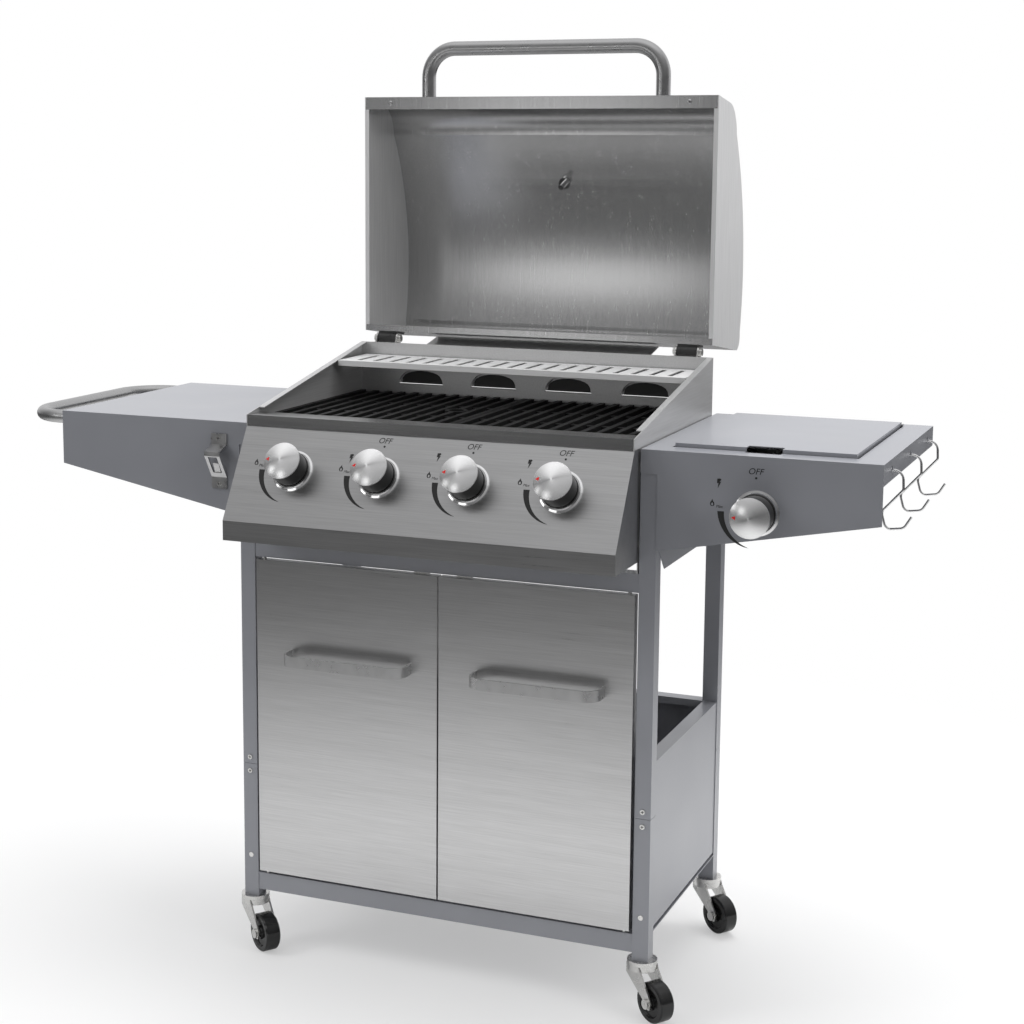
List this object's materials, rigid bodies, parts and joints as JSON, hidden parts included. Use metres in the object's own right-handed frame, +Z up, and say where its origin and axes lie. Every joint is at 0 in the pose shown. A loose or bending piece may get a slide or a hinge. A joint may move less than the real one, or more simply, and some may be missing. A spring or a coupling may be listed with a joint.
{
  "type": "gas barbecue grill",
  "caption": "Trolley gas barbecue with slanted control panel, open rounded lid, two-door cabinet, side shelves with a covered side burner, and swivel casters.",
  "frame": {"origin": "middle of the footprint of the whole grill with its lid open, on the floor", "axes": "+Z up, +X to the right of someone facing the control panel, +Y to the back, towards the lid hinges"},
  "size_m": [1.2858, 0.6073, 1.2875],
  "materials": {
    "painted_frame": "satin blue-grey",
    "stainless": "brushed, grain along the width",
    "stainless_inside": "satin",
    "handle_steel": "satin tube",
    "iron": "matte black",
    "bright": "polished",
    "black_steel": "black",
    "brass_fittings": "machined",
    "zinc": "zinc plated",
    "knob": "black skirt with a brushed metal cap",
    "wheel_plastic": "glossy black"
  },
  "bodies": {
    "cart": {"leg_front_left": "painted_frame", "leg_front_right": "painted_frame", "leg_rear_left": "painted_frame", "leg_rear_right": "painted_frame", "cart_rails": "painted_frame", "bottom_shelf": "painted_frame", "side_panels": "painted_frame", "rear_panel": "painted_frame", "firebox_left": "stainless_inside", "firebox_right": "stainless_inside", "firebox_rear": "stainless_inside", "firebox_front": "stainless", "control_panel": "stainless", "knob_bezels": "bright", "burners": "stainless_inside", "flame_tamers": "stainless_inside", "gas_manifold": "brass_fittings", "grate_left": "iron", "grate_right": "iron", "warming_rack": "stainless_inside", "hinge_brackets": "zinc", "shelf_left": "painted_frame", "shelf_bar_handle": "handle_steel", "bottle_opener": "handle_steel", "shelf_right": "painted_frame", "side_burner": "stainless", "fasteners": "zinc"},
    "lid": {"lid_shell": "stainless_inside", "lid_end_left": "stainless_inside", "lid_end_right": "stainless_inside", "lid_handle": "handle_steel", "thermometer": "bright", "lid_hinges": "black_steel"},
    "left_door": {"door_left": "stainless", "door_handle_left": "handle_steel"},
    "right_door": {"door_right": "stainless", "door_handle_right": "handle_steel"},
    "grease_drawer": {"grease_tray": "stainless_inside"},
    "side_cover": {"side_burner_lid": "painted_frame"},
    "stem_1": {"valve_stem_1": "brass_fittings"},
    "knob_1_body": {"knob_1": "knob"},
    "stem_2": {"valve_stem_2": "brass_fittings"},
    "knob_2_body": {"knob_2": "knob"},
    "stem_3": {"valve_stem_3": "brass_fittings"},
    "knob_3_body": {"knob_3": "knob"},
    "stem_4": {"valve_stem_4": "brass_fittings"},
    "knob_4_body": {"knob_4": "knob"},
    "stem_side": {"valve_stem_side": "brass_fittings"},
    "knob_side_body": {"knob_side": "knob"},
    "hook_front_body": {"hook_front": "bright"},
    "hook_middle_body": {"hook_middle": "bright"},
    "hook_rear_body": {"hook_rear": "bright"},
    "fork_front_left": {"caster_fork_front_left": "zinc"},
    "wheel_front_left": {"caster_wheel_front_left": "wheel_plastic"},
    "fork_front_right": {"caster_fork_front_right": "zinc"},
    "wheel_front_right": {"caster_wheel_front_right": "wheel_plastic"},
    "fork_rear_left": {"caster_fork_rear_left": "zinc"},
    "wheel_rear_left": {"caster_wheel_rear_left": "wheel_plastic"},
    "fork_rear_right": {"caster_fork_rear_right": "zinc"},
    "wheel_rear_right": {"caster_wheel_rear_right": "wheel_plastic"}
  },
  "joints": [
    {"name": "lid_hinge", "type": "hinge", "parent": "cart", "child": "lid", "pos_m": [0.0325, 0.1469, 0.8445], "axis": [1, 0, 0], "range_deg": [0, 100]},
    {"name": "left_door_hinge", "type": "hinge", "parent": "cart", "child": "left_door", "pos_m": [-0.2325, -0.2001, 0.341], "axis": [0, 0, -1], "range_deg": [0, 110]},
    {"name": "right_door_hinge", "type": "hinge", "parent": "cart", "child": "right_door", "pos_m": [0.2975, -0.2001, 0.341], "axis": [0, 0, 1], "range_deg": [0, 110]},
    {"name": "knob_1_push", "type": "slide", "parent": "cart", "child": "stem_1", "axis": [0, 0.8607, -0.509], "range_m": [0, 0.003], "stiffness_N_per_m": 2000, "springref_m": -0.003},
    {"name": "knob_1_turn", "type": "hinge", "parent": "stem_1", "child": "knob_1_body", "pos_m": [-0.15744, -0.25795, 0.70409], "axis": [0, -0.8607, 0.509], "range_deg": [-90, 70]},
    {"name": "knob_2_push", "type": "slide", "parent": "cart", "child": "stem_2", "axis": [0, 0.8607, -0.509], "range_m": [0, 0.003], "stiffness_N_per_m": 2000, "springref_m": -0.003},
    {"name": "knob_2_turn", "type": "hinge", "parent": "stem_2", "child": "knob_2_body", "pos_m": [-0.03081, -0.25795, 0.70409], "axis": [0, -0.8607, 0.509], "range_deg": [-90, 70]},
    {"name": "knob_3_push", "type": "slide", "parent": "cart", "child": "stem_3", "axis": [0, 0.8607, -0.509], "range_m": [0, 0.003], "stiffness_N_per_m": 2000, "springref_m": -0.003},
    {"name": "knob_3_turn", "type": "hinge", "parent": "stem_3", "child": "knob_3_body", "pos_m": [0.09581, -0.25795, 0.70409], "axis": [0, -0.8607, 0.509], "range_deg": [-90, 70]},
    {"name": "knob_4_push", "type": "slide", "parent": "cart", "child": "stem_4", "axis": [0, 0.8607, -0.509], "range_m": [0, 0.003], "stiffness_N_per_m": 2000, "springref_m": -0.003},
    {"name": "knob_4_turn", "type": "hinge", "parent": "stem_4", "child": "knob_4_body", "pos_m": [0.22244, -0.25795, 0.70409], "axis": [0, -0.8607, 0.509], "range_deg": [-90, 70]},
    {"name": "side_knob_push", "type": "slide", "parent": "cart", "child": "stem_side", "axis": [0, 1, 0], "range_m": [0, 0.003], "stiffness_N_per_m": 2000, "springref_m": -0.003},
    {"name": "side_knob_turn", "type": "hinge", "parent": "stem_side", "child": "knob_side_body", "pos_m": [0.4615, -0.2063, 0.686], "axis": [0, -1, 0], "range_deg": [-90, 70]},
    {"name": "side_cover_hinge", "type": "hinge", "parent": "cart", "child": "side_cover", "pos_m": [0.46, 0.1329, 0.7575], "axis": [-1, 0, 0], "range_deg": [0, 95]},
    {"name": "grease_drawer_slide", "type": "slide", "parent": "cart", "child": "grease_drawer", "axis": [0, 1, 0], "range_m": [0, 0.3]},
    {"name": "hook_front_swing", "type": "hinge", "parent": "cart", "child": "hook_front_body", "pos_m": [0.6149, -0.1521, 0.7423], "axis": [0, 1, 0], "range_deg": [-15, 15]},
    {"name": "hook_middle_swing", "type": "hinge", "parent": "cart", "child": "hook_middle_body", "pos_m": [0.6149, -0.0221, 0.7423], "axis": [0, 1, 0], "range_deg": [-15, 15]},
    {"name": "hook_rear_swing", "type": "hinge", "parent": "cart", "child": "hook_rear_body", "pos_m": [0.6149, 0.1079, 0.7423], "axis": [0, 1, 0], "range_deg": [-15, 15]},
    {"name": "caster_front_left_swivel", "type": "hinge", "parent": "cart", "child": "fork_front_left", "pos_m": [-0.2565, -0.1941, 0.066], "axis": [0, 0, 1], "continuous": true},
    {"name": "caster_front_left_roll", "type": "hinge", "parent": "fork_front_left", "child": "wheel_front_left", "pos_m": [-0.23193, -0.21131, 0.027], "axis": [0.5736, 0.8192, 0], "continuous": true},
    {"name": "caster_front_right_swivel", "type": "hinge", "parent": "cart", "child": "fork_front_right", "pos_m": [0.3215, -0.1941, 0.066], "axis": [0, 0, 1], "continuous": true},
    {"name": "caster_front_right_roll", "type": "hinge", "parent": "fork_front_right", "child": "wheel_front_right", "pos_m": [0.34607, -0.21131, 0.027], "axis": [0.5736, 0.8192, 0], "continuous": true},
    {"name": "caster_rear_left_swivel", "type": "hinge", "parent": "cart", "child": "fork_rear_left", "pos_m": [-0.2565, 0.1259, 0.066], "axis": [0, 0, 1], "continuous": true},
    {"name": "caster_rear_left_roll", "type": "hinge", "parent": "fork_rear_left", "child": "wheel_rear_left", "pos_m": [-0.23193, 0.10869, 0.027], "axis": [0.5736, 0.8192, 0], "continuous": true},
    {"name": "caster_rear_right_swivel", "type": "hinge", "parent": "cart", "child": "fork_rear_right", "pos_m": [0.3215, 0.1259, 0.066], "axis": [0, 0, 1], "continuous": true},
    {"name": "caster_rear_right_roll", "type": "hinge", "parent": "fork_rear_right", "child": "wheel_rear_right", "pos_m": [0.34607, 0.10869, 0.027], "axis": [0.5736, 0.8192, 0], "continuous": true}
  ]
}
